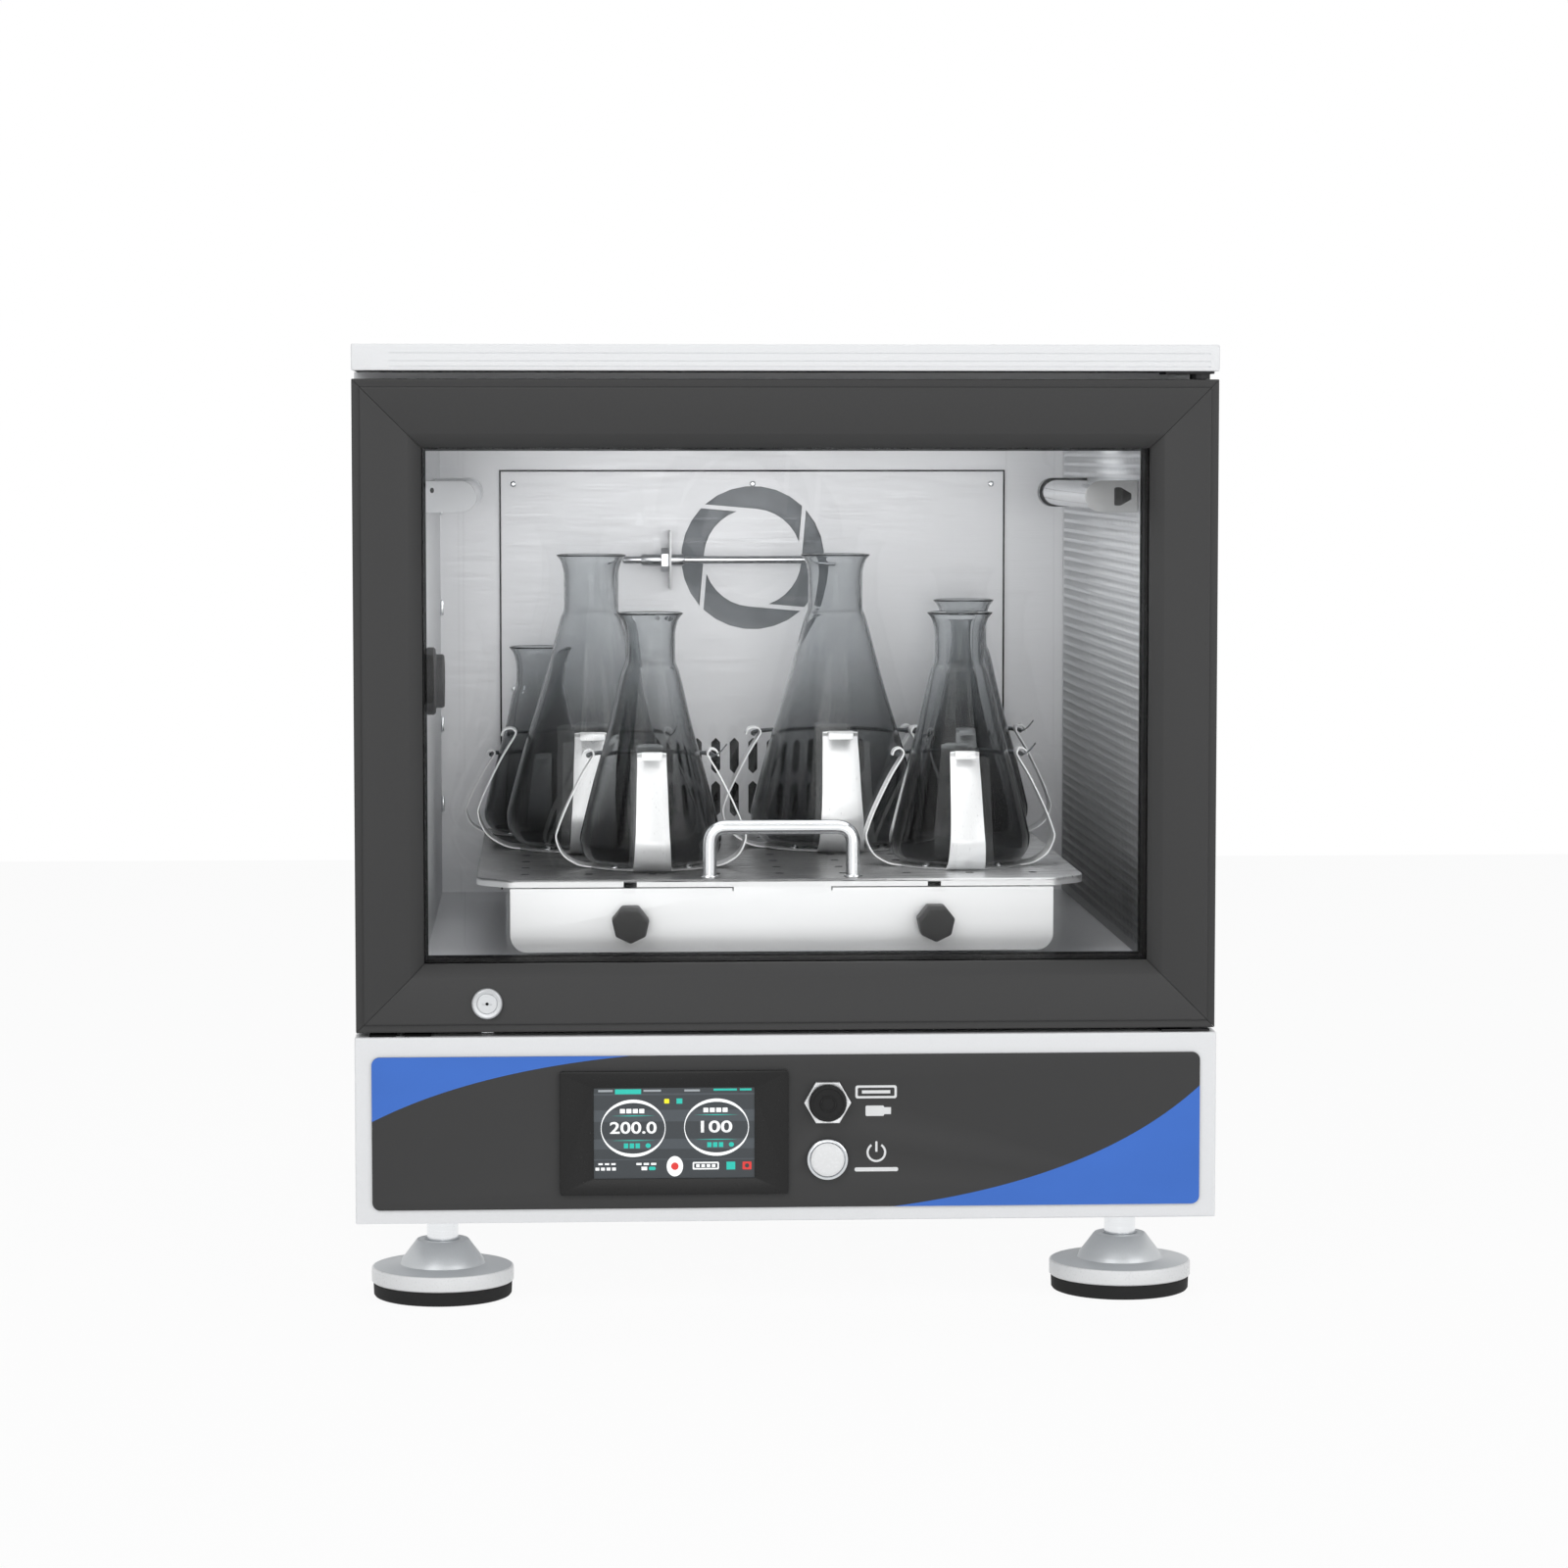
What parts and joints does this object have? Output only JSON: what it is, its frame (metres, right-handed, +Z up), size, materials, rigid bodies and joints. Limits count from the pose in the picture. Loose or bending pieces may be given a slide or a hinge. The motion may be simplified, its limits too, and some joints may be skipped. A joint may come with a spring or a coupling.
{
  "type": "stackable shaking incubator",
  "caption": "Benchtop shaking incubator: glazed side-hinged door, lit fan-warmed chamber, flasks clamped on a tray carried by an orbiting eccentric drive, touch-control base on levelling feet",
  "frame": {"origin": "on the bench, under the middle of the whole machine's bounding box", "axes": "+Z up, -Y out of the door, +X to the right seen from the front"},
  "size_m": [0.592, 0.6752, 0.662],
  "materials": {
    "white_paint": "satin powder coat",
    "charcoal_paint": "satin charcoal powder coat on an extrusion",
    "overlay_film": "printed polycarbonate film",
    "stainless": "satin stainless sheet",
    "bright_steel": "bright stainless",
    "cast_aluminium": "as cast, machined faces",
    "glass": "clear float glass",
    "smoked_glass": "grey borosilicate",
    "black_plastic": "moulded",
    "grey_plastic": "moulded",
    "white_plastic": "moulded",
    "rubber": "moulded",
    "foam": "light insulation board",
    "lamp_cover": "frosted tube"
  },
  "bodies": {
    "cabinet": {"base_housing": "white_paint", "base_floor": "stainless", "control_panel": "overlay_film", "touch_screen": "black_plastic", "port_nut": "bright_steel", "button_ring": "bright_steel", "cabinet_shell": "white_paint", "top_cover": "white_paint", "chamber_liner": "stainless", "insulation_foam": "foam", "rear_cover": "white_paint", "back_air_panel": "stainless", "side_air_panel": "stainless", "lamp_left": "lamp_cover", "lamp_right": "lamp_cover", "temperature_probe": "bright_steel", "fan_motor": "cast_aluminium", "hinge_lower": "bright_steel", "hinge_upper": "bright_steel", "drive_frame": "cast_aluminium", "drive_motor": "grey_plastic", "drive_belt": "rubber"},
    "foot_front_left": {"levelling_foot_front_left": "bright_steel", "foot_pad_front_left": "rubber"},
    "foot_front_right": {"levelling_foot_front_right": "bright_steel", "foot_pad_front_right": "rubber"},
    "foot_rear_left": {"levelling_foot_rear_left": "bright_steel", "foot_pad_rear_left": "rubber"},
    "foot_rear_right": {"levelling_foot_rear_right": "bright_steel", "foot_pad_rear_right": "rubber"},
    "data_port_cap": {"port_cap": "black_plastic"},
    "power_key": {"power_button": "white_plastic"},
    "port_plug": {"wall_port_plug": "grey_plastic"},
    "door": {"door_frame": "charcoal_paint", "door_glass": "glass", "door_gasket": "rubber"},
    "lock": {"lock_cylinder": "bright_steel"},
    "bolt": {"latch_bolt": "bright_steel"},
    "fan": {"fan_impeller": "cast_aluminium"},
    "motor_rotor": {"motor_pulley": "cast_aluminium"},
    "crank": {"main_crank": "cast_aluminium"},
    "idler_left": {"idler_crank_left": "cast_aluminium"},
    "idler_right": {"idler_crank_right": "cast_aluminium"},
    "carriage": {"carriage_plate": "cast_aluminium"},
    "tray": {"tray": "stainless", "tray_handle": "bright_steel", "flask_clamp_front_left": "bright_steel", "flask_clamp_front_right": "bright_steel", "flask_clamp_middle_left": "bright_steel", "flask_clamp_middle_right": "bright_steel", "flask_clamp_back_left": "bright_steel", "flask_clamp_back_right": "bright_steel", "flask_front_left": "smoked_glass", "flask_front_right": "smoked_glass", "flask_middle_left": "smoked_glass", "flask_middle_right": "smoked_glass", "flask_back_left": "smoked_glass", "flask_back_right": "smoked_glass"},
    "knob_left": {"tray_knob_left": "grey_plastic"},
    "knob_right": {"tray_knob_right": "grey_plastic"}
  },
  "joints": [
    {"name": "door_hinge", "type": "hinge", "parent": "cabinet", "child": "door", "pos_m": [0.283, -0.313, 0.1935], "axis": [0, 0, 1], "range_deg": [0, 110]},
    {"name": "lock_turn", "type": "hinge", "parent": "door", "child": "lock", "pos_m": [-0.2055, -0.325, 0.2136], "axis": [0, 1, 0], "range_deg": [0, 90]},
    {"name": "bolt_slide", "type": "slide", "parent": "door", "child": "bolt", "axis": [0, 0, -1], "range_m": [0, 0.008]},
    {"name": "power_press", "type": "slide", "parent": "cabinet", "child": "power_key", "axis": [0, 1, 0], "range_m": [0, 0.0015], "stiffness_N_per_m": 600},
    {"name": "port_cap_pull", "type": "slide", "parent": "cabinet", "child": "data_port_cap", "axis": [0, -1, 0], "range_m": [0, 0.012]},
    {"name": "port_plug_pull", "type": "slide", "parent": "cabinet", "child": "port_plug", "axis": [1, 0, 0], "range_m": [0, 0.03]},
    {"name": "foot_turn_front_left", "type": "hinge", "parent": "cabinet", "child": "foot_front_left", "pos_m": [-0.2385, -0.257, 0.03], "axis": [0, 0, 1], "range_deg": [-360, 360]},
    {"name": "foot_turn_front_right", "type": "hinge", "parent": "cabinet", "child": "foot_front_right", "pos_m": [0.2385, -0.257, 0.03], "axis": [0, 0, 1], "range_deg": [-360, 360]},
    {"name": "foot_turn_rear_left", "type": "hinge", "parent": "cabinet", "child": "foot_rear_left", "pos_m": [-0.2385, 0.262, 0.03], "axis": [0, 0, 1], "range_deg": [-360, 360]},
    {"name": "foot_turn_rear_right", "type": "hinge", "parent": "cabinet", "child": "foot_rear_right", "pos_m": [0.2385, 0.262, 0.03], "axis": [0, 0, 1], "range_deg": [-360, 360]},
    {"name": "fan_spin", "type": "hinge", "parent": "cabinet", "child": "fan", "pos_m": [0, 0.25, 0.5043], "axis": [0, 1, 0], "continuous": true},
    {"name": "main_spin", "type": "hinge", "parent": "cabinet", "child": "crank", "pos_m": [0, -0.125, 0.15], "axis": [0, 0, 1], "continuous": true},
    {"name": "idler_spin_left", "type": "hinge", "parent": "cabinet", "child": "idler_left", "pos_m": [-0.12, 0.055, 0.15], "axis": [0, 0, 1], "continuous": true},
    {"name": "idler_spin_right", "type": "hinge", "parent": "cabinet", "child": "idler_right", "pos_m": [0.12, 0.055, 0.15], "axis": [0, 0, 1], "continuous": true},
    {"name": "motor_spin", "type": "hinge", "parent": "cabinet", "child": "motor_rotor", "pos_m": [0.15, -0.125, 0.11], "axis": [0, 0, 1], "continuous": true},
    {"name": "carriage_pin", "type": "hinge", "parent": "crank", "child": "carriage", "pos_m": [0, -0.138, 0.255], "axis": [0, 0, 1], "continuous": true},
    {"name": "tray_slide", "type": "slide", "parent": "carriage", "child": "tray", "axis": [0, -1, 0], "range_m": [0, 0.02]},
    {"name": "knob_turn_left", "type": "hinge", "parent": "tray", "child": "knob_left", "pos_m": [-0.1065, -0.258, 0.2617], "axis": [0, 1, 0], "range_deg": [-360, 0]},
    {"name": "knob_turn_right", "type": "hinge", "parent": "tray", "child": "knob_right", "pos_m": [0.1065, -0.258, 0.2617], "axis": [0, 1, 0], "range_deg": [-360, 0]}
  ],
  "couplings": [
    {"joint": "bolt_slide", "follows": "lock_turn", "m_per_rad": 0.005091},
    {"joint": "idler_spin_left", "follows": "main_spin", "ratio": 1},
    {"joint": "idler_spin_right", "follows": "main_spin", "ratio": 1},
    {"joint": "motor_spin", "follows": "main_spin", "ratio": 2.75},
    {"joint": "carriage_pin", "follows": "main_spin", "ratio": -1}
  ]
}
